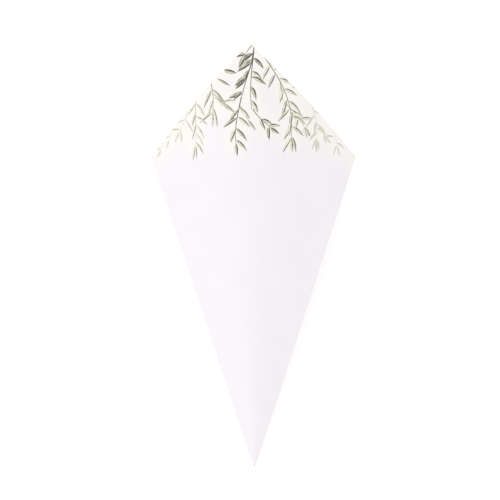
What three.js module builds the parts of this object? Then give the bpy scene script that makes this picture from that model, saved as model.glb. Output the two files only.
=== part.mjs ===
// A paper cone bag: one square sheet of printed card, folded round one of its corners into a
// cone with a fold down each side, glued along a lap at the back and squeezed open.
//
// The corner that the sheet is rolled about is the point of the bag, the corner across from it
// stands up as the pointed flap, and the two other corners meet at the seam. The bag lies on
// its seam with the printed side up: +Y runs from the point to the flap, +X is across.
// Lengths are millimetres and angles are radians.

import * as THREE from "three";
import { mergeVertices } from "three/addons/utils/BufferGeometryUtils.js";

// Driving dimensions of the sheet
const sheetSide = 150;
const cardThickness = 0.35;
const lapWidth = 11; // glued lap, across its wide end at the mouth

// Driving dimensions of the opened bag, measured across its axis one sheet side from the point
const frontRise = 27.5; // how far the printed side bows out from the side folds
const restWidth = 14; // flat stretch along the seam, which the bag lies on

// Length of the point along which the two walls close up to each other
const pinchLength = 12;

// Fineness of the faceting
const panelFacets = 36;
const foldFacets = 4; // round the outside of a side fold
const lapFacets = 2;
const foldClearAngle = 0.05; // keeps a panel's facets off the fold's inner corner
const curveSteps = 600; // steps that a panel's curve is measured in
const bisections = 50;
const sameSpot = 1e-4; // corners closer than this are one

const cardColour = 0xf4eff5;

// Angles of the rolled sheet, measured at the point from the middle of the printed side
const sheetHalfAngle = Math.PI / 4;
const lapAngle = lapWidth / sheetSide;
const seamAngle = sheetHalfAngle - lapAngle / 2; // middle of the seam
const foldAngle = seamAngle / 2; // both panels are equally wide, as a bag that folds flat has them
const lapStart = sheetHalfAngle - lapAngle;

// Bisects a rising function for the argument that gives the wanted value.
function solve(rising, wanted, low, high) {
  for (let i = 0; i < bisections; i++) {
    const middle = (low + high) / 2;
    if (rising(middle) < wanted) low = middle;
    else high = middle;
  }
  return (low + high) / 2;
}

// Height of a panel's bow at x, one unit from the point: a cosine arch, flat in its middle.
function bowHeight(x, panel) {
  if (x <= panel.flatHalf) return panel.rise;
  const share = (x - panel.flatHalf) / (panel.halfWidth - panel.flatHalf);
  return panel.rise * Math.cos((Math.PI / 2) * share);
}

// Half a panel, from its middle to the side fold: directions from the point, and the angle of
// sheet used up so far. The sheet's own angle is kept, so the form unrolls flat.
function sweepPanel(panel) {
  const swept = [];
  let angle = 0;
  for (let i = 0; i <= curveSteps; i++) {
    const x = (panel.halfWidth * i) / curveSteps;
    const along = new THREE.Vector3(x, 1, bowHeight(x, panel)).normalize();
    if (i > 0) angle += along.angleTo(swept[i - 1].along);
    swept.push({ along, angle });
  }
  return swept;
}

function sweptAngle(panel) {
  return sweepPanel(panel)[curveSteps].angle;
}

// Opening of the bag: its width follows from the front's bow, and the back's bow from that width
const steepest = 2;
const front = { rise: frontRise / sheetSide, flatHalf: 0, halfWidth: 0 };
front.halfWidth = solve(
  (halfWidth) => sweptAngle({ ...front, halfWidth }),
  foldAngle,
  0,
  Math.tan(foldAngle),
);
const back = { rise: 0, flatHalf: restWidth / 2 / sheetSide, halfWidth: front.halfWidth };
back.rise = solve((rise) => sweptAngle({ ...back, rise }), foldAngle, 0, steepest);
front.swept = sweepPanel(front);
back.swept = sweepPanel(back);

// Direction from the point at an angle from a panel's middle, on the +X half of that panel.
function directionOn(panel, angle) {
  const after = panel.swept.findIndex((step) => step.angle >= angle);
  if (after === 0) return panel.swept[0].along.clone();
  const end = panel.swept[after < 0 ? curveSteps : after];
  const start = panel.swept[(after < 0 ? curveSteps : after) - 1];
  const share = (angle - start.angle) / (end.angle - start.angle);
  return start.along.clone().lerp(end.along, share).normalize();
}

// Direction from the point at an angle round the bag, in a frame with the bag's axis along +Y.
function direction(angle) {
  const turn = Math.abs(angle);
  const side = Math.sign(angle);
  if (turn <= foldAngle) {
    const along = directionOn(front, turn);
    return along.set(side * along.x, along.y, along.z);
  }
  const toSeam = seamAngle - turn;
  const along = directionOn(back, Math.abs(toSeam));
  return along.set(side * Math.sign(toSeam) * along.x, along.y, -along.z);
}

// Outward normal of the facet between two angles round the bag.
function facetNormal(from, to) {
  return direction(to).cross(direction(from)).normalize();
}

const nearby = foldAngle / curveSteps;

// Outward normal of the card at an angle round the bag, away from the folds.
function cardNormal(angle) {
  return facetNormal(angle - nearby, angle + nearby);
}

// Middle of the card's thickness: it climbs by one thickness round the bag, so that the
// outer end of the sheet lies on the inner end at the lap.
function spiralOffset(angle) {
  return (cardThickness / 2) * THREE.MathUtils.clamp(angle / lapStart, -1, 1);
}

// Distance from the point to the sheet's cut edge, which two sides of the square make.
function reach(angle) {
  return sheetSide / Math.cos(sheetHalfAngle - Math.abs(angle));
}

// One line from the point to the mouth, with the sheet's angle on its outer and inner face.
function column(place, outward, inward, outerAngle, innerAngle) {
  const along = direction(place);
  const outer = outward.clone().multiplyScalar(spiralOffset(outerAngle) + cardThickness / 2);
  const inner = inward.clone().multiplyScalar(spiralOffset(innerAngle) - cardThickness / 2);
  const at = (distance, offset) => along.clone().multiplyScalar(distance).add(offset);
  return {
    outerRim: at(reach(outerAngle), outer),
    outerPinch: at(pinchLength, outer),
    innerPinch: at(pinchLength, inner),
    innerRim: at(reach(innerAngle), inner),
  };
}

function plainColumn(angle) {
  const normal = cardNormal(angle);
  return column(angle, normal, normal, angle, angle);
}

// A side fold: round on the outside, a sharp corner on the inside.
function foldColumns(angle) {
  const before = facetNormal(angle - nearby, angle);
  const after = facetNormal(angle, angle + nearby);
  const corner = before.clone().add(after).divideScalar(1 + before.dot(after));
  const columns = [];
  for (let i = 0; i <= foldFacets; i++) {
    const outward = before.clone().lerp(after, i / foldFacets).normalize();
    columns.push(column(angle, outward, corner, angle, angle));
  }
  return columns;
}

// Evenly spaced angles between two ends, with both ends.
function spread(from, to, steps) {
  return Array.from({ length: steps + 1 }, (_, i) => from + ((to - from) * i) / steps);
}

// The lap: the outer end of the sheet over the inner end, which is a whole round behind it.
function lapColumns() {
  return spread(lapStart, sheetHalfAngle, lapFacets).map((angle) => {
    const normal = cardNormal(angle);
    return column(angle, normal, normal, angle, angle - 2 * seamAngle);
  });
}

const columns = [
  ...spread(-lapStart, -foldAngle - foldClearAngle, panelFacets / 2).map(plainColumn),
  ...foldColumns(-foldAngle),
  ...spread(-foldAngle + foldClearAngle, foldAngle - foldClearAngle, panelFacets).map(plainColumn),
  ...foldColumns(foldAngle),
  ...spread(foldAngle + foldClearAngle, lapStart, panelFacets / 2).map(plainColumn),
  ...lapColumns(),
];

// The point: solid card where the two walls have met.
const outerPoint = new THREE.Vector3();
const innerPoint = new THREE.Vector3(0, cardThickness / Math.sin(Math.atan(front.rise)), 0);

// Closed wall of the bag: outer face, cut edge at the mouth, and inner face.
function wallGeometry() {
  const rows = ["outerPinch", "outerRim", "innerRim", "innerPinch"];
  const corners = [];
  const triangle = (a, b, c) => {
    const flat = a.distanceTo(b) < sameSpot || b.distanceTo(c) < sameSpot || c.distanceTo(a) < sameSpot;
    if (!flat) corners.push(a, b, c);
  };
  columns.forEach((left, i) => {
    const right = columns[(i + 1) % columns.length];
    triangle(outerPoint, right.outerPinch, left.outerPinch);
    for (let row = 1; row < rows.length; row++) {
      const [near, far] = [rows[row - 1], rows[row]];
      triangle(left[near], right[near], right[far]);
      triangle(left[near], right[far], left[far]);
    }
    triangle(innerPoint, left.innerPinch, right.innerPinch);
  });
  return mergeVertices(new THREE.BufferGeometry().setFromPoints(corners), sameSpot);
}

const geometry = wallGeometry();
geometry.computeVertexNormals();

const paperCone = new THREE.Mesh(
  geometry,
  new THREE.MeshStandardMaterial({ color: cardColour, roughness: 0.7, metalness: 0 }),
);
paperCone.name = "paper_cone";

// Lying on the flat stretch along its seam, with the axis rising towards the mouth
paperCone.rotation.x = Math.atan(back.rise);

// Origin under the middle of the bag, on the surface that it lies on
const box = new THREE.Box3().setFromObject(paperCone, true);
const middle = box.getCenter(new THREE.Vector3());
paperCone.position.set(-middle.x, -middle.y, -box.min.z);

const paperConeBag = new THREE.Group();
paperConeBag.add(paperCone);

export default paperConeBag;
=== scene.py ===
"""Paper cone bag: one square sheet of printed card, rolled about a corner and glued down the back.

Everything on the bag is drawn on the flat sheet first. One group of geometry nodes, the roll,
then carries the card and its print onto the cone, so leaves, lap and cut edges all bend together.
Flat sheet: the closed point is at the origin, +Y runs to the flap's corner and +X across.
"""

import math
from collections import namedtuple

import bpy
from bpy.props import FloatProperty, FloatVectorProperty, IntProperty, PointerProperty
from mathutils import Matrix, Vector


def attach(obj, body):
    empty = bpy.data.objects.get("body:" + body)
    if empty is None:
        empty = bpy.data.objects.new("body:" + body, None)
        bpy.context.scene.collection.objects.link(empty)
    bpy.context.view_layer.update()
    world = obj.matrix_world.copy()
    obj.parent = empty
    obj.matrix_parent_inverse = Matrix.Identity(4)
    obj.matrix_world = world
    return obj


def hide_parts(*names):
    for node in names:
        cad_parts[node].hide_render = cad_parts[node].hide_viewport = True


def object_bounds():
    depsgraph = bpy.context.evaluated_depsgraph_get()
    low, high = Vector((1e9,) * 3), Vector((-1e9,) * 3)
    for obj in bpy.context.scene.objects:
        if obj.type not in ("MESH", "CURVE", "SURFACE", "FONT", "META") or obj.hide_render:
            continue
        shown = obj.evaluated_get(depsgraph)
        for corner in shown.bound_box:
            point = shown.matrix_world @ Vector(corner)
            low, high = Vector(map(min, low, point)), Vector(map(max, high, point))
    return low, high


bl_info = {
    "name": "Paper Cone Bag",
    "version": (1, 0, 0),
    "blender": (4, 5, 0),
    "location": "3D View > Sidebar > Cone Bag",
    "description": "Rolls a printed card sheet into a cone bag and lays it on a studio floor",
    "category": "Object",
}

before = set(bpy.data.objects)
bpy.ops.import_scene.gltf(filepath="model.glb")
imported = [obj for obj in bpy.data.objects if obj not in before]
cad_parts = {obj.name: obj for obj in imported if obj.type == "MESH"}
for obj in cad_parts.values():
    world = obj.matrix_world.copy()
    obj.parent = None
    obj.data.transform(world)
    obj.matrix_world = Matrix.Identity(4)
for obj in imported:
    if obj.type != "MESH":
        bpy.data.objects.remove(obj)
CAD_LOW, CAD_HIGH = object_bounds()

CAD_CONE = "paper_cone"
BODY = "root"

MM = 0.001
SAME_SPOT = 1e-7
HALF_CORNER = math.pi / 4
FLAT_UV = "UVMap"


# Sprigs of the print. Each hangs from its root, which is given on the flat sheet in mm across
# from the middle and down from the flap's corner. Its headings are degrees from straight down,
# towards +X, at even steps from the root to the end. What runs beyond the cut edge is drawn back
# to it. Leaf is the leaves' length before it varies, width is their width and stem is the stem's
# radius at its root, all in mm. Towards 1 pale is fainter foil, and below 0 it is darker. Spread
# is a share of the print's own leaf angle.
Sprig = namedtuple(
    "Sprig", "across down length headings leaf width stem pale sides spread", defaults=(1.0,)
)
BOTH = "left right tip"
SPRIGS = (
    Sprig(2.1, 1.4, 26.0, (-6, -10, -20, -16, -15), 7.0, 2.1, 0.28, -0.4, "left", 1.45),
    Sprig(1.6, 3.8, 21.0, (-8, -14, -20, -16, -15), 5.8, 1.8, 0.06, -0.4, "left", 0.85),
    Sprig(-4.4, 26.5, 22.5, (-14, -12, -8, 6), 6.6, 1.6, 0.26, -0.15, BOTH, 1.05),
    Sprig(1.9, 4.5, 28.0, (-8, -6, -2, 6), 6.4, 1.8, 0.24, -0.25, "right", 1.35),
    Sprig(1.2, 32.2, 12.5, (26, 42, 48, 44), 6.4, 1.7, 0.22, -0.15, BOTH, 1.05),
    Sprig(-5.3, 30.4, 8.0, (34, 24), 6.0, 1.3, 0.17, 0.05, "right tip"),
    Sprig(1.0, 1.2, 5.2, (-42, -30), 6.4, 2.1, 0.20, -0.35, "left tip"),
    Sprig(-18.6, 12.0, 5.5, (74, 80), 6.6, 2.0, 0.18, -0.2, "tip"),
    Sprig(-21.8, 14.6, 6.0, (58, 64), 6.6, 1.4, 0.17, -0.1, "tip"),
    Sprig(-20.2, 18.6, 15.5, (16, 4, -10), 8.4, 1.4, 0.19, 0.15, BOTH),
    Sprig(-19.0, 25.0, 6.5, (56, 48), 7.4, 1.3, 0.16, 0.15, "right tip"),
    Sprig(-28.4, 26.6, 24.0, (-6, 0, -4), 7.2, 1.3, 0.15, 0.4, BOTH),
    Sprig(-34.0, 34.0, 12.0, (-12, -28, -36), 6.2, 1.1, 0.12, 0.6, BOTH),
    Sprig(-44.0, 43.8, 6.0, (-20, -30), 5.2, 1.1, 0.11, 0.75, BOTH),
    Sprig(-50.5, 50.6, 6.0, (-24, -34), 4.8, 1.0, 0.10, 0.85, BOTH),
    Sprig(7.0, 6.8, 44.0, (34, 32, 22, 6, -4), 7.4, 1.6, 0.22, 0.1, BOTH),
    Sprig(18.2, 30.6, 15.0, (46, 40, 30), 6.6, 1.6, 0.18, 0.15, BOTH),
    Sprig(21.0, 22.0, 8.0, (70, 58), 6.0, 1.4, 0.15, 0.3, BOTH),
    Sprig(31.6, 31.8, 18.5, (26, 10, -6), 6.4, 1.2, 0.13, 0.66, BOTH),
    Sprig(35.8, 42.0, 7.0, (40, 30), 5.2, 1.1, 0.11, 0.76, BOTH),
    Sprig(44.6, 45.2, 8.5, (26, 14), 5.2, 1.0, 0.10, 0.85, BOTH),
    Sprig(-62.0, 62.4, 7.0, (-30, -20), 4.6, 1.0, 0.10, 0.88, BOTH),
    Sprig(58.0, 58.4, 7.0, (24, 30), 4.8, 1.0, 0.10, 0.88, BOTH),
)
STEM_STEPS = 28
STEM_SIDES = 8
STEM_THINNING = 0.45
STEM_SHADE = 0.62
STEM_TONE = 0.6
THICKEST_STEM = 0.00032


class CardSettings(bpy.types.PropertyGroup):
    """Sizes and colours of the card sheet and of the bag that it makes."""

    side: FloatProperty(
        name="Side", description="Side of the square sheet", default=0.150, unit="LENGTH"
    )
    thickness: FloatProperty(
        name="Thickness", description="Thickness of the card", default=0.00035, unit="LENGTH"
    )
    glue_gap: FloatProperty(
        name="Glue gap", description="Gap between the layers of the lap", default=0.00002, unit="LENGTH"
    )
    lap_width: FloatProperty(
        name="Lap", description="Width of the glued lap at the mouth", default=0.011, unit="LENGTH"
    )
    front_rise: FloatProperty(
        name="Front rise",
        description="How far the printed side bows out from the folds, one side from the point",
        default=0.0275,
        unit="LENGTH",
    )
    rest_width: FloatProperty(
        name="Flat back",
        description="Width of the flat stretch along the seam, at the mouth",
        default=0.014,
        unit="LENGTH",
    )
    pinch: FloatProperty(
        name="Pinch", description="Length of the point that is pressed thin", default=0.0035, unit="LENGTH"
    )
    fold_softness: IntProperty(
        name="Fold softness", description="Smoothing steps at the side folds", default=26, min=0
    )
    unevenness: FloatProperty(
        name="Unevenness",
        description="Slight hollows and swells of the card",
        default=0.0005,
        unit="LENGTH",
    )
    columns: IntProperty(name="Columns", description="Lines from the point to the rim", default=360, min=8)
    rows: IntProperty(name="Rows", description="Lines across the sheet", default=96, min=4)
    colour: FloatVectorProperty(
        name="Card", description="Colour of the card's face", default=(0.925, 0.877, 0.918), subtype="COLOR"
    )
    wash: FloatVectorProperty(
        name="Wash",
        description="Cream ground under the sprigs",
        default=(0.945, 0.92, 0.875),
        subtype="COLOR",
    )
    edge: FloatVectorProperty(
        name="Cut edge", description="Colour of the raw edge", default=(0.86, 0.84, 0.83), subtype="COLOR"
    )


class PrintSettings(bpy.types.PropertyGroup):
    """Sizes and colours of the printed sprigs."""

    relief: FloatProperty(
        name="Relief", description="How far the foil stands proud", default=0.00003, unit="LENGTH"
    )
    spacing: FloatProperty(
        name="Leaf spacing", description="Stem between two pairs of leaves", default=0.0046, unit="LENGTH"
    )
    spread: FloatProperty(
        name="Spread", description="Angle between leaf and stem", default=math.radians(50), subtype="ANGLE"
    )
    margin: FloatProperty(
        name="Margin", description="Bare card along the cut edge", default=0.0002, unit="LENGTH"
    )
    seed: IntProperty(name="Seed", description="Seed of the leaves' variation", default=52)
    # Light and dark foil are two tones of one gold foil. The material mixes them into painted shade across
    # each leaf, and into the print's own darker sprigs and tones.
    light: FloatVectorProperty(
        name="Light foil",
        description="Foil in the middle of a leaf",
        default=(0.88, 0.875, 0.69),
        subtype="COLOR",
    )
    dark: FloatVectorProperty(
        name="Dark foil",
        description="Foil along a leaf's edges",
        default=(0.115, 0.105, 0.085),
        subtype="COLOR",
    )
    faint: FloatVectorProperty(
        name="Faint foil",
        description="Foil of the palest sprigs",
        default=(0.70, 0.69, 0.60),
        subtype="COLOR",
    )


class StageSettings(bpy.types.PropertyGroup):
    """Camera, floor and lamps."""

    distance: FloatProperty(
        name="Distance", description="Camera to the middle of the bag", default=1.2, unit="LENGTH"
    )
    view_width: FloatProperty(
        name="View width", description="Width in view at that distance", default=0.2505, unit="LENGTH"
    )
    tilt: FloatProperty(
        name="Tilt",
        description="Tilt from square to the axis",
        default=math.radians(-1.53),
        subtype="ANGLE",
    )
    turn: FloatProperty(
        name="Turn", description="Turn about the bag's axis", default=math.radians(-2.34), subtype="ANGLE"
    )
    roll: FloatProperty(
        name="Roll", description="Roll of the picture", default=math.radians(0.22), subtype="ANGLE"
    )
    aim_across: FloatProperty(
        name="Aim across",
        description="Middle of the picture, across the bag",
        default=-0.00176,
        unit="LENGTH",
    )
    aim_up: FloatProperty(
        name="Aim up", description="Middle of the picture, towards the flap", default=0.00284, unit="LENGTH"
    )
    sky: FloatProperty(name="Sky", description="Light from all round", default=0.985)
    key: FloatProperty(name="Key", description="Power of the lamp on the left", default=2.7, unit="POWER")
    fill: FloatProperty(
        name="Fill", description="Power of the lamp on the right", default=0.6, unit="POWER"
    )
    floor: FloatVectorProperty(
        name="Floor", description="Colour of the floor", default=(0.85, 0.85, 0.85), subtype="COLOR"
    )


# Node building


class Nodes:
    """Adds nodes to one tree and links them by socket name."""

    def __init__(self, tree):
        self.tree = tree

    def add(self, kind, inputs=None, **settings):
        node = self.tree.nodes.new(kind)
        for name, value in settings.items():
            setattr(node, name, value)
        for socket, value in (inputs or {}).items():
            self.feed(node.inputs[socket], value)
        return node

    def feed(self, socket, value):
        if isinstance(value, bpy.types.NodeSocket):
            self.tree.links.new(value, socket)
        else:
            socket.default_value = value

    def math(self, operation, *values):
        node = self.tree.nodes.new("ShaderNodeMath")
        node.operation = operation
        for socket, value in zip(node.inputs, values):
            self.feed(socket, value)
        return node.outputs[0]

    def times(self, first, second):
        return self.math("MULTIPLY", first, second)

    def plus(self, first, second):
        return self.math("ADD", first, second)

    def minus(self, first, second):
        return self.math("SUBTRACT", first, second)

    def vector(self, operation, *values, output="Vector"):
        node = self.tree.nodes.new("ShaderNodeVectorMath")
        node.operation = operation
        for socket, value in zip(node.inputs, values):
            self.feed(socket, value)
        return node.outputs[output]

    def scaled(self, vector, factor):
        node = self.add("ShaderNodeVectorMath", {"Vector": vector, "Scale": factor}, operation="SCALE")
        return node.outputs["Vector"]

    def combine(self, x, y, z):
        return self.add("ShaderNodeCombineXYZ", {"X": x, "Y": y, "Z": z}).outputs["Vector"]

    def split(self, vector):
        node = self.add("ShaderNodeSeparateXYZ", {"Vector": vector})
        return node.outputs["X"], node.outputs["Y"], node.outputs["Z"]

    def ramp(self, value, start, end, low=0.0, high=1.0, smooth=True):
        """Value mapped from start..end to low..high, and held there beyond."""
        node = self.add(
            "ShaderNodeMapRange",
            {"Value": value, "From Min": start, "From Max": end, "To Min": low, "To Max": high},
            interpolation_type="SMOOTHSTEP" if smooth else "LINEAR",
        )
        return node.outputs["Result"]

    def position(self):
        return self.add("GeometryNodeInputPosition").outputs["Position"]

    def moved(self, geometry, position):
        node = self.add("GeometryNodeSetPosition", {"Geometry": geometry, "Position": position})
        return node.outputs["Geometry"]

    def joined(self, pieces):
        """The pieces in one mesh, with the points that meet made one."""
        both = self.add("GeometryNodeJoinGeometry")
        for piece in pieces:
            self.tree.links.new(piece, both.inputs["Geometry"])
        return self.merged(both.outputs["Geometry"])

    def merged(self, geometry):
        node = self.add("GeometryNodeMergeByDistance", {"Geometry": geometry, "Distance": SAME_SPOT})
        return node.outputs["Geometry"]

    def flipped(self, mesh):
        return self.add("GeometryNodeFlipFaces", {"Mesh": mesh}).outputs["Mesh"]

    def store(self, geometry, name, value, kind="FLOAT", domain="POINT"):
        node = self.add("GeometryNodeStoreNamedAttribute", data_type=kind, domain=domain)
        self.feed(node.inputs["Geometry"], geometry)
        self.feed(node.inputs["Name"], name)
        self.feed(node.inputs["Value"], value)
        return node.outputs["Geometry"]

    def named(self, name):
        node = self.add("GeometryNodeInputNamedAttribute", {"Name": name}, data_type="FLOAT")
        return node.outputs["Attribute"]

    def group(self, tree, kind, inputs):
        node = self.tree.nodes.new(kind)
        node.node_tree = tree
        for socket, value in inputs.items():
            self.feed(node.inputs[socket], value)
        return node


def new_tree(name, kind, inputs, outputs):
    """A node group with named sockets; returns its builder, its inputs and its output node."""
    tree = bpy.data.node_groups.new(name, kind)
    for socket, form in inputs.items():
        tree.interface.new_socket(socket, in_out="INPUT", socket_type="NodeSocket" + form)
    for socket, form in outputs.items():
        tree.interface.new_socket(socket, in_out="OUTPUT", socket_type="NodeSocket" + form)
    nodes = Nodes(tree)
    start = nodes.add("NodeGroupInput")
    end = nodes.add("NodeGroupOutput")
    return nodes, start.outputs, end


# The opened bag's section, seen from the point

CURVE_STEPS = 600
BISECTIONS = 50
NARROWEST = 0.01
STEEPEST = 2.0
SECTION_POINTS = 1401
FOLD_REACH = 0.10


def solve(rising, wanted, low, high):
    """Bisects a rising function for the argument that gives the wanted value."""
    for _ in range(BISECTIONS):
        middle = (low + high) / 2
        if rising(middle) < wanted:
            low = middle
        else:
            high = middle
    return (low + high) / 2


def swept_angle(half_width, rise, flat_half):
    """Angle of sheet that half a panel takes up, seen from the point."""
    total, last = 0.0, None
    for step in range(CURVE_STEPS + 1):
        x = half_width * step / CURVE_STEPS
        share = max(0.0, (x - flat_half) / (half_width - flat_half))
        z = rise * math.cos(math.pi / 2 * share)
        far = math.hypot(x, 1.0, z)
        along = (x / far, 1.0 / far, z / far)
        if last is not None:
            total += math.dist(along, last)
        last = along
    return total


class Opening:
    """How the flat sheet stands when the bag is squeezed open: the same rule as the solid's."""

    def __init__(self, card):
        self.seam = HALF_CORNER - card.lap_width / card.side / 2
        self.lap_start = HALF_CORNER - card.lap_width / card.side
        self.fold = self.seam / 2
        self.front_rise = card.front_rise / card.side
        self.flat_half = card.rest_width / card.side / 2
        self.half_width = solve(
            lambda width: swept_angle(width, self.front_rise, 0.0),
            self.fold,
            NARROWEST,
            math.tan(self.fold),
        )
        self.back_rise = solve(
            lambda rise: swept_angle(self.half_width, rise, self.flat_half), self.fold, 0.0, STEEPEST
        )
        self.lean = math.atan(self.back_rise)
        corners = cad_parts[CAD_CONE].data.vertices
        self.point = min((corner.co.copy() for corner in corners), key=lambda co: co.y)

    def roll_values(self, card):
        """What the roll's named inputs are set to."""
        return {
            "Half Width": self.half_width,
            "Front Rise": self.front_rise,
            "Back Rise": self.back_rise,
            "Flat Half": self.flat_half,
            "Fold Softness": card.fold_softness,
            "Seam Angle": self.seam,
            "Lap Start": self.lap_start,
            "Card Thickness": card.thickness,
            "Pinch": card.pinch,
            "Unevenness": card.unevenness,
            "Lean": self.lean,
            "Point": self.point,
        }


ROLL_INPUTS = {
    "Half Width": "Float",
    "Front Rise": "Float",
    "Back Rise": "Float",
    "Flat Half": "Float",
    "Fold Softness": "Int",
    "Seam Angle": "Float",
    "Lap Start": "Float",
    "Card Thickness": "Float",
    "Pinch": "Float",
    "Unevenness": "Float",
    "Lean": "Float",
    "Point": "Vector",
}


def section_curve(nodes, given):
    """Closed section of the opened bag on a sphere round the point, from the seam and back to it.

    Along the line t runs from -2 to 2: the folds are at -1 and 1 and the seam is at both ends.
    """
    line = nodes.add("GeometryNodeCurvePrimitiveLine", {"Start": (-2, 0, 0), "End": (2, 0, 0)})
    fine = nodes.add(
        "GeometryNodeResampleCurve",
        {"Curve": line.outputs["Curve"], "Count": SECTION_POINTS},
        mode="COUNT",
    )
    t, _, _ = nodes.split(nodes.position())
    marked = nodes.store(fine.outputs["Curve"], "around", t)
    size = nodes.math("ABSOLUTE", t)
    from_seam = nodes.minus(2.0, size)
    on_back = nodes.math("GREATER_THAN", size, 1.0)
    on_front = nodes.minus(1.0, on_back)

    back_x = nodes.times(nodes.math("SIGN", t), from_seam)
    x_share = nodes.plus(nodes.times(t, on_front), nodes.times(back_x, on_back))
    x = nodes.times(x_share, given["Half Width"])

    front_arch = nodes.math("COSINE", nodes.times(t, math.pi / 2))
    front_z = nodes.times(given["Front Rise"], front_arch)
    flat = nodes.math("DIVIDE", given["Flat Half"], given["Half Width"])
    bowed = nodes.ramp(from_seam, flat, 1.0, smooth=False)
    back_arch = nodes.math("COSINE", nodes.times(bowed, math.pi / 2))
    back_z = nodes.times(given["Back Rise"], back_arch)
    z = nodes.minus(nodes.times(front_z, on_front), nodes.times(back_z, on_back))
    sharp = nodes.moved(marked, nodes.vector("NORMALIZE", nodes.combine(x, 1.0, z)))

    place = nodes.math("ABSOLUTE", nodes.named("around"))
    from_fold = nodes.math("ABSOLUTE", nodes.minus(place, 1.0))
    blur = nodes.add("GeometryNodeBlurAttribute", data_type="FLOAT_VECTOR")
    nodes.feed(blur.inputs["Value"], nodes.position())
    nodes.feed(blur.inputs["Iterations"], given["Fold Softness"])
    nodes.feed(blur.inputs["Weight"], nodes.ramp(from_fold, FOLD_REACH / 2, FOLD_REACH, 1.0, 0.0))
    return nodes.moved(sharp, blur.outputs["Value"])


SWELL_SIZE = 16.0
SWELL_SEED = 3.7
SWELL_FULL_ANGLE = math.radians(26)
SWELL_END_ANGLE = math.radians(36)
SWELL_START = 0.02
SWELL_FULL = 0.16


def swelling(nodes, given, across, along, angle):
    """Height of the card's slight hollows, which fade out towards the glued back."""
    noise = nodes.add(
        "ShaderNodeTexNoise",
        {"Vector": nodes.combine(across, along, SWELL_SEED), "Scale": SWELL_SIZE, "Detail": 1.0},
    )
    height = nodes.minus(noise.outputs["Fac"], 0.5)
    turn = nodes.math("ABSOLUTE", angle)
    front_only = nodes.ramp(turn, SWELL_FULL_ANGLE, SWELL_END_ANGLE, 1.0, 0.0)
    grown = nodes.times(height, nodes.ramp(along, SWELL_START, SWELL_FULL))
    return nodes.times(nodes.times(grown, front_only), given["Unevenness"])


def roll_group():
    """Carries what lies on the flat sheet, with its height above the card's middle, onto the bag."""
    nodes, given, end = new_tree(
        "Roll onto the bag",
        "GeometryNodeTree",
        {"Geometry": "Geometry", **ROLL_INPUTS},
        {"Geometry": "Geometry"},
    )
    across, along, height = nodes.split(nodes.position())
    angle = nodes.math("ARCTAN2", across, along)
    distance = nodes.vector("LENGTH", nodes.combine(across, along, 0.0), output="Value")

    round_once = nodes.math("DIVIDE", angle, nodes.times(given["Seam Angle"], 2.0))
    sample = nodes.add("GeometryNodeSampleCurve", mode="FACTOR")
    nodes.feed(sample.inputs["Curves"], section_curve(nodes, given))
    nodes.feed(sample.inputs["Factor"], nodes.math("FRACT", nodes.plus(round_once, 0.5)))
    outwards_along = nodes.vector("NORMALIZE", sample.outputs["Position"])
    normal = nodes.vector(
        "NORMALIZE", nodes.vector("CROSS_PRODUCT", sample.outputs["Tangent"], outwards_along)
    )

    other_lap = nodes.times(given["Lap Start"], -1.0)
    climb = nodes.ramp(angle, other_lap, given["Lap Start"], -0.5, 0.5, smooth=False)
    lift = nodes.plus(height, nodes.times(climb, given["Card Thickness"]))
    lift = nodes.plus(lift, swelling(nodes, given, across, along, angle))
    pressed = nodes.ramp(distance, 0.0, given["Pinch"], smooth=False)
    placed = nodes.vector(
        "ADD",
        nodes.scaled(outwards_along, distance),
        nodes.scaled(normal, nodes.times(lift, pressed)),
    )
    leaned = nodes.add(
        "ShaderNodeVectorRotate", {"Vector": placed, "Angle": given["Lean"]}, rotation_type="X_AXIS"
    )
    set_down = nodes.vector("ADD", leaned.outputs["Vector"], given["Point"])
    nodes.feed(end.inputs["Geometry"], nodes.moved(given["Geometry"], set_down))
    return nodes.tree


def rolled(nodes, given, roll, geometry):
    """The roll group placed in a tree that has the same named inputs."""
    inputs = {name: given[name] for name in ROLL_INPUTS}
    return nodes.group(roll, "GeometryNodeGroup", {"Geometry": geometry, **inputs}).outputs["Geometry"]


def finish_tree(nodes, end, geometry, material):
    """Ends a tree with its material and real geometry."""
    finished = nodes.add("GeometryNodeSetMaterial", {"Geometry": geometry, "Material": material})
    real = nodes.add("GeometryNodeRealizeInstances", {"Geometry": finished.outputs["Geometry"]})
    nodes.feed(end.inputs["Geometry"], real.outputs["Geometry"])
    return nodes.tree


def grow(name, tree, values, mesh, material):
    """Runs a geometry tree on a mesh and keeps its result as a plain mesh object."""
    piece = bpy.data.objects.new(name, mesh)
    bpy.context.scene.collection.objects.link(piece)
    modifier = piece.modifiers.new("Grow", "NODES")
    modifier.node_group = tree
    for socket in tree.interface.items_tree:
        if socket.in_out == "INPUT" and socket.name in values:
            modifier[socket.identifier] = values[socket.name]
    graph = bpy.context.evaluated_depsgraph_get()
    result = bpy.data.meshes.new_from_object(
        piece.evaluated_get(graph), preserve_all_data_layers=True, depsgraph=graph
    )
    piece.modifiers.clear()
    piece.data = result
    result.name = name
    result.materials.clear()
    result.materials.append(material)
    result.polygons.foreach_set("material_index", [0] * len(result.polygons))
    return piece


# The card

WASH_FULL = 0.001
WASH_REACH = 0.010


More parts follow.
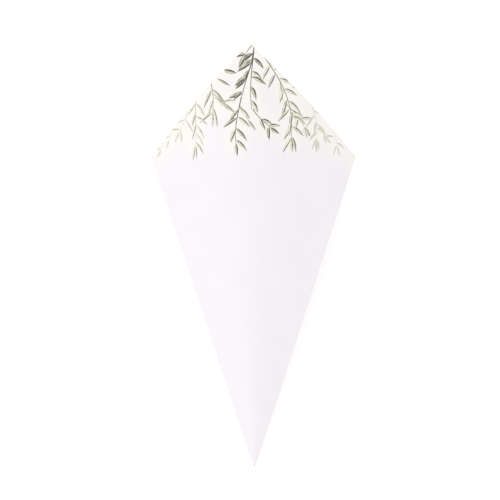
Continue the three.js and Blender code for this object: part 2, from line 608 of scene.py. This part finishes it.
def card_tree(roll, material):
    """A square sheet with its thickness, drawn flat and then rolled."""
    nodes, given, end = new_tree(
        "Folded card",
        "GeometryNodeTree",
        {
            "Geometry": "Geometry",
            "Side": "Float",
            "Glue Gap": "Float",
            "Columns": "Int",
            "Rows": "Int",
            **ROLL_INPUTS,
        },
        {"Geometry": "Geometry"},
    )
    grid = nodes.add(
        "GeometryNodeMeshGrid",
        {"Size X": 1.0, "Size Y": 1.0, "Vertices X": given["Columns"], "Vertices Y": given["Rows"]},
    )
    column, row, _ = nodes.split(nodes.position())
    angle = nodes.times(column, 2 * HALF_CORNER)
    to_edge = nodes.math("COSINE", nodes.minus(HALF_CORNER, nodes.math("ABSOLUTE", angle)))
    reach = nodes.math("DIVIDE", given["Side"], to_edge)
    distance = nodes.times(reach, nodes.plus(row, 0.5))
    layer = nodes.minus(given["Card Thickness"], given["Glue Gap"])
    under = nodes.times(layer, -0.5)
    flat = nodes.moved(
        grid.outputs["Mesh"],
        nodes.combine(
            nodes.times(distance, nodes.math("SINE", angle)),
            nodes.times(distance, nodes.math("COSINE", angle)),
            under,
        ),
    )
    thick = nodes.add(
        "GeometryNodeExtrudeMesh",
        {"Mesh": flat, "Offset": (0.0, 0.0, 1.0), "Offset Scale": layer, "Individual": False},
        mode="FACES",
    )
    outside = nodes.store(thick.outputs["Mesh"], "cut_edge", thick.outputs["Side"], domain="FACE")
    inside = nodes.store(nodes.flipped(flat), "inner_face", 1.0, domain="FACE")
    whole = nodes.joined((outside, inside))
    printed = nodes.store(whole, FLAT_UV, nodes.position(), kind="FLOAT2", domain="CORNER")
    nearest = nodes.add("GeometryNodeProximity", {"Geometry": given["Geometry"]}, target_element="EDGES")
    washed = nodes.ramp(nearest.outputs["Distance"], WASH_FULL, WASH_REACH, 1.0, 0.0)
    printed = nodes.store(printed, "wash", washed)
    return finish_tree(nodes, end, rolled(nodes, given, roll, printed), material)


# Finishes


def new_material(name):
    material = bpy.data.materials.new(name)
    material.use_nodes = True
    material.node_tree.nodes.clear()
    nodes = Nodes(material.node_tree)
    shader = nodes.add("ShaderNodeBsdfPrincipled")
    output = nodes.add("ShaderNodeOutputMaterial", {"Surface": shader.outputs["BSDF"]})
    return material, nodes, shader, output


FIBRE_STRETCH = 0.35
FIBRE_HEIGHT = 0.00002
FIBRE_DETAIL = 4.0
FIBRE_ROUGHNESS = 0.6
GRAIN_FINENESS = 2.6
GRAIN_DETAIL = 2.0
GRAIN_SHARE = 0.3
CLOUD_DETAIL = 3.0


def fibre_group():
    """Fine fibres of pressed card: their height, and the faint cloudiness of its colour."""
    nodes, given, end = new_tree(
        "Card fibres",
        "ShaderNodeTree",
        {"Vector": "Vector", "Fibre Scale": "Float", "Cloud Scale": "Float"},
        {"Height": "Float", "Cloud": "Float"},
    )
    stretched = nodes.vector("MULTIPLY", given["Vector"], (1.0, FIBRE_STRETCH, 1.0))
    fibres = nodes.add(
        "ShaderNodeTexNoise",
        {
            "Vector": stretched,
            "Scale": given["Fibre Scale"],
            "Detail": FIBRE_DETAIL,
            "Roughness": FIBRE_ROUGHNESS,
        },
    )
    finer = nodes.times(given["Fibre Scale"], GRAIN_FINENESS)
    grain = nodes.add(
        "ShaderNodeTexNoise", {"Vector": given["Vector"], "Scale": finer, "Detail": GRAIN_DETAIL}
    )
    clouds = nodes.add(
        "ShaderNodeTexNoise",
        {"Vector": given["Vector"], "Scale": given["Cloud Scale"], "Detail": CLOUD_DETAIL},
    )
    grainy = nodes.times(grain.outputs["Fac"], GRAIN_SHARE)
    height = nodes.plus(nodes.times(fibres.outputs["Fac"], 1.0 - GRAIN_SHARE), grainy)
    nodes.feed(end.inputs["Height"], height)
    nodes.feed(end.inputs["Cloud"], clouds.outputs["Fac"])
    return nodes.tree


def add_bump(nodes, shader, fibre, strength):
    """Raises a material by its fibres, with the strength on the bump's own socket."""
    bump = nodes.add(
        "ShaderNodeBump",
        {"Height": fibre.outputs["Height"], "Strength": strength, "Distance": FIBRE_HEIGHT},
    )
    nodes.feed(shader.inputs["Normal"], bump.outputs["Normal"])


def mix_colour(nodes, factor, first, second, blend="MIX"):
    node = nodes.add("ShaderNodeMix", data_type="RGBA", blend_type=blend)
    nodes.feed(node.inputs[0], factor)
    nodes.feed(node.inputs[6], first)
    nodes.feed(node.inputs[7], second)
    return node.outputs[2]


def opaque(colour):
    return (*colour, 1.0)


CLOUD_RANGE = (0.3, 0.7)
FIBRE_RANGE = (0.2, 0.8)

CARD_FIBRES = 2600.0
CARD_CLOUDS = 60.0
CARD_CLOUD_TONES = (0.985, 1.0)
CARD_ROUGHNESS = (0.52, 0.68)
CARD_BUMP = 0.12
CARD_GLOSS = 0.35
# Width and depth of the painted shade along the two side folds.
FOLD_SHADE_WIDTH = 0.0007
FOLD_SHADE_DEPTH = 0.02
INSIDE_TINT = 0.35
INSIDE_ROUGHER = 0.15


def card_material(card, opening, fibres):
    """White printed card: smooth face, fibres, painted shade along the folds and raw cut edges."""
    material, nodes, shader, _ = new_material("white_card")
    flat = nodes.add("ShaderNodeUVMap", uv_map=FLAT_UV).outputs["UV"]
    across, along, _ = nodes.split(flat)
    scales = {"Fibre Scale": CARD_FIBRES, "Cloud Scale": CARD_CLOUDS}
    fibre = nodes.group(fibres, "ShaderNodeGroup", {"Vector": flat, **scales})

    angle = nodes.math("ABSOLUTE", nodes.math("ARCTAN2", across, along))
    distance = nodes.vector("LENGTH", nodes.combine(across, along, 0.0), output="Value")
    # Painted shade: a narrow band along each side fold is drawn a little darker, as where the card turns
    # away from the light.
    off_fold = nodes.times(nodes.math("ABSOLUTE", nodes.minus(angle, opening.fold)), distance)
    fold_shade = nodes.ramp(off_fold, 0.0, FOLD_SHADE_WIDTH, 1.0, 0.0)
    raw_edge = nodes.add("ShaderNodeAttribute", attribute_name="cut_edge").outputs["Fac"]
    wash = nodes.add("ShaderNodeAttribute", attribute_name="wash").outputs["Fac"]
    inner = nodes.add("ShaderNodeAttribute", attribute_name="inner_face").outputs["Fac"]

    cloud = nodes.ramp(fibre.outputs["Cloud"], *CLOUD_RANGE, *CARD_CLOUD_TONES)
    tone = nodes.minus(cloud, nodes.times(fold_shade, FOLD_SHADE_DEPTH))
    outer = nodes.minus(1.0, inner)
    ground = mix_colour(nodes, nodes.times(wash, outer), opaque(card.colour), opaque(card.wash))
    face = mix_colour(nodes, 1.0, ground, nodes.combine(tone, tone, tone), blend="MULTIPLY")
    plain = mix_colour(nodes, nodes.times(inner, INSIDE_TINT), face, opaque(card.edge))
    colour = mix_colour(nodes, raw_edge, plain, opaque(card.edge))
    nodes.feed(shader.inputs["Base Color"], colour)

    rough = nodes.ramp(fibre.outputs["Height"], *FIBRE_RANGE, *CARD_ROUGHNESS, smooth=False)
    nodes.feed(shader.inputs["Roughness"], nodes.plus(rough, nodes.times(inner, INSIDE_ROUGHER)))
    add_bump(nodes, shader, fibre, CARD_BUMP)
    shader.inputs["Specular IOR Level"].default_value = CARD_GLOSS
    return material


FOIL_FIBRES = 1800.0
FOIL_CLOUDS = 500.0
FOIL_METAL = 0.55
FOIL_UNEVENNESS = 0.18
FOIL_ROUGHNESS = (0.3, 0.45)
FOIL_BUMP = 0.25
# Painted shade on each leaf: its darker half, the dark line along its other edge and its darker tip.
SHADED_EDGE = (-0.1, 0.5)
OTHER_EDGE = (-0.6, -1.0)
OTHER_EDGE_SHADE = 0.7
TIP_REACH = (0.6, 1.0)
TIP_SHADE = 0.4
OWN_TONES = (-0.2, 0.25)


def foil_material(ink, fibres):
    """Champagne gold foil: darker along each leaf's edges, each leaf a little different. The darker edges
    and tip are painted shade, as if each leaf were lit from one side.
    """
    material, nodes, shader, _ = new_material("gold_print")

    def value(name):
        return nodes.add("ShaderNodeAttribute", attribute_name=name).outputs["Fac"]

    place = nodes.add("ShaderNodeTexCoord").outputs["Object"]
    scales = {"Fibre Scale": FOIL_FIBRES, "Cloud Scale": FOIL_CLOUDS}
    fibre = nodes.group(fibres, "ShaderNodeGroup", {"Vector": place, **scales})
    # Painted shade: each leaf darkens over one half, in a thin line along the other edge and towards its
    # tip, mixing in the dark foil as if the leaf were lit from one side.
    shaded_edge = nodes.ramp(value("across"), *SHADED_EDGE)
    other_edge = nodes.ramp(value("across"), *OTHER_EDGE, 0.0, OTHER_EDGE_SHADE)
    tip_shade_amount = nodes.ramp(value("along"), *TIP_REACH, 0.0, TIP_SHADE)
    dark = nodes.plus(nodes.math("MAXIMUM", shaded_edge, other_edge), tip_shade_amount)
    uneven = nodes.ramp(fibre.outputs["Cloud"], *CLOUD_RANGE, -FOIL_UNEVENNESS, FOIL_UNEVENNESS)
    own = nodes.ramp(value("tone"), 0.0, 1.0, *OWN_TONES, smooth=False)
    deeper = nodes.math("MAXIMUM", nodes.times(value("paleness"), -1.0), 0.0)
    # The painted shade is summed here with the foil's real differences: darker sprigs, patchy foil and each
    # leaf's own tone.
    dark = nodes.plus(nodes.plus(dark, deeper), nodes.plus(uneven, own))
    dark = nodes.ramp(dark, 0.0, 1.0, smooth=False)
    leaf = mix_colour(nodes, dark, opaque(ink.light), opaque(ink.dark))
    fade = nodes.math("MAXIMUM", value("paleness"), 0.0)
    colour = mix_colour(nodes, fade, leaf, opaque(ink.faint))
    nodes.feed(shader.inputs["Base Color"], colour)
    shader.inputs["Metallic"].default_value = FOIL_METAL
    rough = nodes.ramp(fibre.outputs["Height"], *FIBRE_RANGE, *FOIL_ROUGHNESS, smooth=False)
    nodes.feed(shader.inputs["Roughness"], rough)
    add_bump(nodes, shader, fibre, FOIL_BUMP)
    return material


# The print


def heading_at(headings, share):
    """Heading at a share of the stem's length, between the nearest two that are given."""
    place = share * (len(headings) - 1)
    before = min(int(place), len(headings) - 2)
    return headings[before] + (headings[before + 1] - headings[before]) * (place - before)


def stem_mesh(card):
    """Stems of all sprigs as lines on the flat sheet, each point with its sprig's values."""
    points, edges = [], []
    names = ("leaf_length", "leaf_width", "stem_radius", "paleness", "spread", "left", "right", "tip")
    values = {name: [] for name in names}
    flap = card.side * math.sqrt(2)
    for sprig in SPRIGS:
        place = Vector((sprig.across * MM, flap - sprig.down * MM, 0.0))
        step = sprig.length * MM / STEM_STEPS
        for i in range(STEM_STEPS + 1):
            share = i / STEM_STEPS
            heading = math.radians(heading_at(sprig.headings, share))
            if i > 0:
                edges.append((len(points) - 1, len(points)))
                place = place + step * Vector((math.sin(heading), -math.cos(heading), 0.0))
            points.append(place.copy())
            values["leaf_length"].append(sprig.leaf * MM)
            values["leaf_width"].append(sprig.width * MM)
            values["stem_radius"].append(sprig.stem * MM)
            values["paleness"].append(sprig.pale)
            values["spread"].append(sprig.spread)
            for side in ("left", "right", "tip"):
                values[side].append(1.0 if side in sprig.sides else 0.0)
    mesh = bpy.data.meshes.new("stems")
    mesh.from_pydata(points, edges, [])
    for name, numbers in values.items():
        mesh.attributes.new(name, "FLOAT", "POINT").data.foreach_set("value", numbers)
    return mesh


LEAF_STEPS = 13
LEAF_LINES = 7
LEAF_FULLNESS = 1.2
LEAF_BELLY = 0.85
LEAF_BEND = 0.95
LEAF_SWAY = 0.42
TIP_SWAY_SHARE = 0.2
TIP_BEND_SHARE = 0.33
SPREAD_SHARES = (1.15, 0.75)
LENGTH_SHARES = (1.0, 1.45)
TAPER_SHARES = (1.05, 0.85)
SLIDE_SHARES = (-0.5, 0.1)
BARE_SHARE = 0.06
MISSING_SHARE = 0.06
STEM_END = 0.999
LEFT_SEED = 11
RIGHT_SEED = 23
TIP_SEED = 37


def leaf_face(nodes, height, bend):
    """Top or bottom of a leaf, one long and one wide, arched by its height, its foot at the origin."""
    grid = nodes.add(
        "GeometryNodeMeshGrid",
        {"Size X": 1.0, "Size Y": 2.0, "Vertices X": LEAF_STEPS, "Vertices Y": LEAF_LINES},
    ).outputs["Mesh"]
    x, y, _ = nodes.split(nodes.position())
    marked = nodes.store(nodes.store(grid, "across", y), "along", nodes.plus(x, 0.5))
    along = nodes.named("along")
    across = nodes.named("across")
    eased = nodes.math("POWER", along, LEAF_BELLY)
    ends = nodes.times(nodes.times(eased, nodes.minus(1.0, eased)), 4.0)
    half = nodes.times(nodes.math("POWER", ends, LEAF_FULLNESS), 0.5)
    curved = nodes.times(nodes.times(along, along), bend)
    arch = nodes.times(nodes.minus(1.0, nodes.times(across, across)), nodes.math("SQRT", ends))
    side = nodes.plus(nodes.times(across, half), curved)
    return nodes.moved(marked, nodes.combine(along, side, nodes.times(arch, height)))


def leaf_blade(nodes, relief, bend):
    """One closed lance-shaped leaf in low relief, bent sideways by a share of its width."""
    top = leaf_face(nodes, relief, bend)
    bottom = nodes.flipped(leaf_face(nodes, nodes.times(relief, -1.0), bend))
    return nodes.joined((top, bottom))


def random_value(nodes, low, high, seed):
    node = nodes.add("FunctionNodeRandomValue", data_type="FLOAT")
    sockets = [socket for socket in node.inputs if socket.enabled]
    nodes.feed(sockets[0], low)
    nodes.feed(sockets[1], high)
    nodes.feed(node.inputs["Seed"], seed)
    return [socket for socket in node.outputs if socket.enabled][0]


def leaf_row(nodes, given, stems, side, seed_step):
    """Leaves along every stem, on its left where side is -1 and its right where it is 1.

    Where side is 0 there is one leaf, at the stem's end.
    """
    seed = nodes.plus(given["Seed"], float(seed_step))
    draws = (nodes.plus(seed, float(draw)) for draw in range(5))
    share = nodes.add("GeometryNodeSplineParameter").outputs["Factor"]
    along_stem = nodes.add("GeometryNodeInputTangent").outputs["Tangent"]
    run_x, run_y, _ = nodes.split(along_stem)
    opened = nodes.ramp(share, 0.0, 1.0, *SPREAD_SHARES, smooth=False)
    spread = nodes.times(nodes.times(nodes.named("spread"), opened), given["Spread"])
    sway = random_value(nodes, -LEAF_SWAY, LEAF_SWAY, next(draws))
    calmed = nodes.times(sway, 1.0 if side else TIP_SWAY_SHARE)
    turn = nodes.plus(nodes.times(spread, float(side)), calmed)
    heading = nodes.plus(nodes.math("ARCTAN2", run_y, run_x), turn)

    length = nodes.times(nodes.named("leaf_length"), random_value(nodes, *LENGTH_SHARES, next(draws)))
    length = nodes.times(length, nodes.ramp(share, 0.0, 1.0, *TAPER_SHARES, smooth=False))
    if side == 0:
        chosen = nodes.times(nodes.math("GREATER_THAN", share, STEM_END), nodes.named("tip"))
        bend = LEAF_BEND * TIP_BEND_SHARE
    else:
        on_stem = nodes.math("GREATER_THAN", share, BARE_SHARE)
        chosen = nodes.times(on_stem, nodes.named("left" if side < 0 else "right"))
        kept = nodes.math("GREATER_THAN", random_value(nodes, 0.0, 1.0, next(draws)), MISSING_SHARE)
        chosen = nodes.times(chosen, kept)
        slide = random_value(nodes, *SLIDE_SHARES, next(draws))
        step = nodes.scaled(along_stem, nodes.times(slide, given["Spacing"]))
        stems = nodes.moved(stems, nodes.vector("ADD", nodes.position(), step))
        bend = -side * LEAF_BEND

    turned = nodes.add("FunctionNodeEulerToRotation", {"Euler": nodes.combine(0.0, 0.0, heading)})
    placed = nodes.add(
        "GeometryNodeInstanceOnPoints",
        {
            "Points": stems,
            "Selection": chosen,
            "Instance": leaf_blade(nodes, given["Relief"], bend),
            "Rotation": turned.outputs["Rotation"],
            "Scale": nodes.combine(length, nodes.named("leaf_width"), 1.0),
        },
    )
    tone = random_value(nodes, 0.0, 1.0, next(draws))
    toned = nodes.store(placed.outputs["Instances"], "tone", tone, domain="INSTANCE")
    return nodes.add("GeometryNodeRealizeInstances", {"Geometry": toned}).outputs["Geometry"]


def trim_to_sheet(nodes, given, geometry):
    """Draws back to the flap's two cut edges what runs over them, so nothing stands out past them."""
    x, y, z = nodes.split(nodes.position())
    flap = nodes.minus(nodes.times(given["Side"], math.sqrt(2)), given["Margin"])
    room = nodes.minus(flap, nodes.plus(y, nodes.math("ABSOLUTE", x)))
    over = nodes.times(nodes.math("MINIMUM", room, 0.0), -0.5)
    inwards = nodes.times(nodes.math("SIGN", x), over)
    return nodes.moved(geometry, nodes.combine(nodes.minus(x, inwards), nodes.minus(y, over), z))


def print_tree(roll, material):
    """Stems and leaves in thin relief on the flat sheet, then rolled with it."""
    nodes, given, end = new_tree(
        "Hanging sprigs",
        "GeometryNodeTree",
        {
            "Geometry": "Geometry",
            "Side": "Float",
            "Spacing": "Float",
            "Spread": "Float",
            "Margin": "Float",
            "Relief": "Float",
            "Seed": "Int",
            **ROLL_INPUTS,
        },
        {"Geometry": "Geometry"},
    )
    lines = nodes.add("GeometryNodeMeshToCurve", {"Mesh": given["Geometry"]}).outputs["Curve"]
    share = nodes.add("GeometryNodeSplineParameter").outputs["Factor"]
    thinning = nodes.ramp(share, 0.0, 1.0, 1.0, STEM_THINNING, smooth=False)
    taper = nodes.times(nodes.named("stem_radius"), thinning)
    plain = nodes.store(nodes.store(lines, "along", 0.0), "tone", STEM_TONE)
    sides = {"Resolution": STEM_SIDES, "Radius": 1.0}
    ring = nodes.add("GeometryNodeCurvePrimitiveCircle", sides, mode="RADIUS")
    stems = nodes.add(
        "GeometryNodeCurveToMesh",
        {"Curve": plain, "Profile Curve": ring.outputs["Curve"], "Scale": taper, "Fill Caps": True},
    ).outputs["Mesh"]
    x, y, z = nodes.split(nodes.position())
    low = nodes.times(z, nodes.math("DIVIDE", given["Relief"], THICKEST_STEM))
    stems = nodes.moved(stems, nodes.combine(x, y, low))
    stems = nodes.store(stems, "across", STEM_SHADE)

    spaced = nodes.add(
        "GeometryNodeResampleCurve", {"Curve": lines, "Length": given["Spacing"]}, mode="LENGTH"
    ).outputs["Curve"]
    left = leaf_row(nodes, given, spaced, -1, LEFT_SEED)
    right = leaf_row(nodes, given, spaced, 1, RIGHT_SEED)
    last = leaf_row(nodes, given, spaced, 0, TIP_SEED)
    trimmed = trim_to_sheet(nodes, given, nodes.joined((stems, left, right, last)))
    x, y, z = nodes.split(nodes.position())
    on_face = nodes.plus(z, nodes.times(given["Card Thickness"], 0.5))
    raised = nodes.moved(trimmed, nodes.combine(x, y, on_face))
    return finish_tree(nodes, end, rolled(nodes, given, roll, raised), material)


def shared(name, make):
    """A node group that is made once and found again by name."""
    return bpy.data.node_groups.get(name) or make()


SHARP_ANGLE = math.radians(50)


class CONEBAG_OT_fold_card(bpy.types.Operator):
    """Roll the square card sheet into the bag"""

    bl_idname = "conebag.fold_card"
    bl_label = "Fold Card"

    def execute(self, context):
        card = context.scene.cone_card
        opening = Opening(card)
        roll = shared("Roll onto the bag", roll_group)
        material = card_material(card, opening, shared("Card fibres", fibre_group))
        values = {
            "Side": card.side,
            "Glue Gap": card.glue_gap,
            "Columns": card.columns,
            "Rows": card.rows,
            **opening.roll_values(card),
        }
        bag = grow("folded_card", card_tree(roll, material), values, stem_mesh(card), material)
        if not bag.data.polygons:
            raise RuntimeError("the card came out empty")
        bag.data.shade_smooth()
        bag.data.set_sharp_from_angle(angle=SHARP_ANGLE)
        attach(bag, BODY)
        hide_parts(CAD_CONE)
        return {"FINISHED"}


class CONEBAG_OT_print_sprigs(bpy.types.Operator):
    """Print the hanging sprigs on the card's face"""

    bl_idname = "conebag.print_sprigs"
    bl_label = "Print Sprigs"

    def execute(self, context):
        card = context.scene.cone_card
        ink = context.scene.cone_print
        roll = shared("Roll onto the bag", roll_group)
        material = foil_material(ink, shared("Card fibres", fibre_group))
        values = {
            "Side": card.side,
            "Spacing": ink.spacing,
            "Spread": ink.spread,
            "Margin": ink.margin,
            "Relief": ink.relief,
            "Seed": ink.seed,
            **Opening(card).roll_values(card),
        }
        sprigs = grow("printed_sprigs", print_tree(roll, material), values, stem_mesh(card), material)
        if not sprigs.data.polygons:
            raise RuntimeError("the print came out empty")
        sprigs.data.shade_smooth()
        sprigs.data.set_sharp_from_angle(angle=SHARP_ANGLE)
        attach(sprigs, BODY)
        return {"FINISHED"}


# The stage

FLOOR_HALF = 4.0
FLOOR_GLOW = 0.28
FLOOR_ROUGHNESS = 0.9
LAMP_SIZE = 0.8
KEY_PLACE = (-1.5, 0.1, 0.5)
FILL_PLACE = (0.9, -0.6, 1.4)
WHITE = (1.0, 1.0, 1.0, 1.0)
SENSOR_WIDTH = 36.0
NEAREST_SEEN = 0.01
FARTHEST_SEEN = 20.0


def floor_material(stage):
    """White paper floor: it shows white to the camera and in reflections, with a faint shadow."""
    material, nodes, shader, output = new_material("white_floor")
    shader.inputs["Base Color"].default_value = opaque(stage.floor)
    shader.inputs["Roughness"].default_value = FLOOR_ROUGHNESS
    shader.inputs["Specular IOR Level"].default_value = 0.0
    path = nodes.add("ShaderNodeLightPath")
    seen = nodes.math("MAXIMUM", path.outputs["Is Camera Ray"], path.outputs["Is Glossy Ray"])
    glow = nodes.add("ShaderNodeEmission", {"Color": WHITE, "Strength": nodes.times(seen, FLOOR_GLOW)})
    both = nodes.add("ShaderNodeAddShader")
    nodes.tree.links.new(shader.outputs["BSDF"], both.inputs[0])
    nodes.tree.links.new(glow.outputs["Emission"], both.inputs[1])
    nodes.feed(output.inputs["Surface"], both.outputs["Shader"])
    return material


def light_the_sky(stage):
    """Even light from all round; the camera and reflections see it white."""
    world = bpy.data.worlds.new("studio")
    bpy.context.scene.world = world
    world.use_nodes = True
    world.node_tree.nodes.clear()
    nodes = Nodes(world.node_tree)
    path = nodes.add("ShaderNodeLightPath")
    seen = nodes.math("MAXIMUM", path.outputs["Is Camera Ray"], path.outputs["Is Glossy Ray"])
    strength = nodes.ramp(seen, 0.0, 1.0, stage.sky, 1.0, smooth=False)
    sky = nodes.add("ShaderNodeBackground", {"Color": WHITE, "Strength": strength})
    nodes.add("ShaderNodeOutputWorld", {"Surface": sky.outputs["Background"]})


def hang_lamp(name, place, power, target):
    lamp = bpy.data.lights.new(name, "AREA")
    lamp.shape = "DISK"
    lamp.size = LAMP_SIZE
    lamp.energy = power
    holder = bpy.data.objects.new(name, lamp)
    bpy.context.scene.collection.objects.link(holder)
    holder.location = place
    holder.rotation_mode = "QUATERNION"
    holder.rotation_quaternion = (target - Vector(place)).to_track_quat("-Z", "Y")


def place_camera(stage, card, opening):
    """Looks nearly square at the bag's axis from above, near the middle of the sheet's diagonal."""
    lean = Matrix.Rotation(opening.lean, 3, "X")
    seen_from = Matrix.Rotation(stage.turn, 3, "Y") @ Matrix.Rotation(stage.tilt, 3, "X")
    seen_from = Matrix.Rotation(stage.roll, 3, "Z") @ seen_from
    facing = lean @ seen_from.transposed()
    middle = opening.point + lean @ Vector((0.0, card.side / math.sqrt(2), 0.0))
    camera = bpy.data.cameras.new("camera")
    camera.sensor_width = SENSOR_WIDTH
    camera.lens = SENSOR_WIDTH * stage.distance / stage.view_width
    camera.clip_start = NEAREST_SEEN
    camera.clip_end = FARTHEST_SEEN
    holder = bpy.data.objects.new("camera", camera)
    bpy.context.scene.collection.objects.link(holder)
    holder.location = middle + facing @ Vector((stage.aim_across, stage.aim_up, stage.distance))
    holder.rotation_mode = "QUATERNION"
    holder.rotation_quaternion = facing.to_quaternion()
    bpy.context.scene.camera = holder
    return middle


class CONEBAG_OT_set_stage(bpy.types.Operator):
    """Lay the floor, hang the lamps and place the camera"""

    bl_idname = "conebag.set_stage"
    bl_label = "Set Stage"

    def execute(self, context):
        stage = context.scene.cone_stage
        card = context.scene.cone_card
        mesh = bpy.data.meshes.new("floor")
        corners = [(-1, -1), (1, -1), (1, 1), (-1, 1)]
        places = [(x * FLOOR_HALF, y * FLOOR_HALF, CAD_LOW.z) for x, y in corners]
        mesh.from_pydata(places, [], [(0, 1, 2, 3)])
        mesh.materials.append(floor_material(stage))
        floor = bpy.data.objects.new("floor", mesh)
        context.scene.collection.objects.link(floor)
        light_the_sky(stage)
        middle = place_camera(stage, card, Opening(card))
        hang_lamp("key_lamp", KEY_PLACE, stage.key, middle)
        hang_lamp("fill_lamp", FILL_PLACE, stage.fill, middle)
        context.scene.view_settings.view_transform = "Standard"
        return {"FINISHED"}


class CONEBAG_PT_panel(bpy.types.Panel):
    """Sizes, colours and steps of the cone bag"""

    bl_idname = "CONEBAG_PT_panel"
    bl_label = "Cone Bag"
    bl_space_type = "VIEW_3D"
    bl_region_type = "UI"
    bl_category = "Cone Bag"

    def draw(self, context):
        for step, settings in STEPS:
            box = self.layout.box()
            box.operator(step.bl_idname)
            group = getattr(context.scene, settings)
            for name in type(group).__annotations__:
                box.prop(group, name)


STEPS = (
    (CONEBAG_OT_fold_card, "cone_card"),
    (CONEBAG_OT_print_sprigs, "cone_print"),
    (CONEBAG_OT_set_stage, "cone_stage"),
)
SETTINGS = {"cone_card": CardSettings, "cone_print": PrintSettings, "cone_stage": StageSettings}
CLASSES = (*SETTINGS.values(), *(step for step, _ in STEPS), CONEBAG_PT_panel)


def register():
    for cls in CLASSES:
        bpy.utils.register_class(cls)
    for name, group in SETTINGS.items():
        setattr(bpy.types.Scene, name, PointerProperty(type=group))


def unregister():
    for name in SETTINGS:
        delattr(bpy.types.Scene, name)
    for cls in reversed(CLASSES):
        bpy.utils.unregister_class(cls)


def main():
    register()
    bpy.ops.conebag.fold_card()
    bpy.ops.conebag.print_sprigs()
    bpy.ops.conebag.set_stage()


if __name__ == "__main__":
    main()
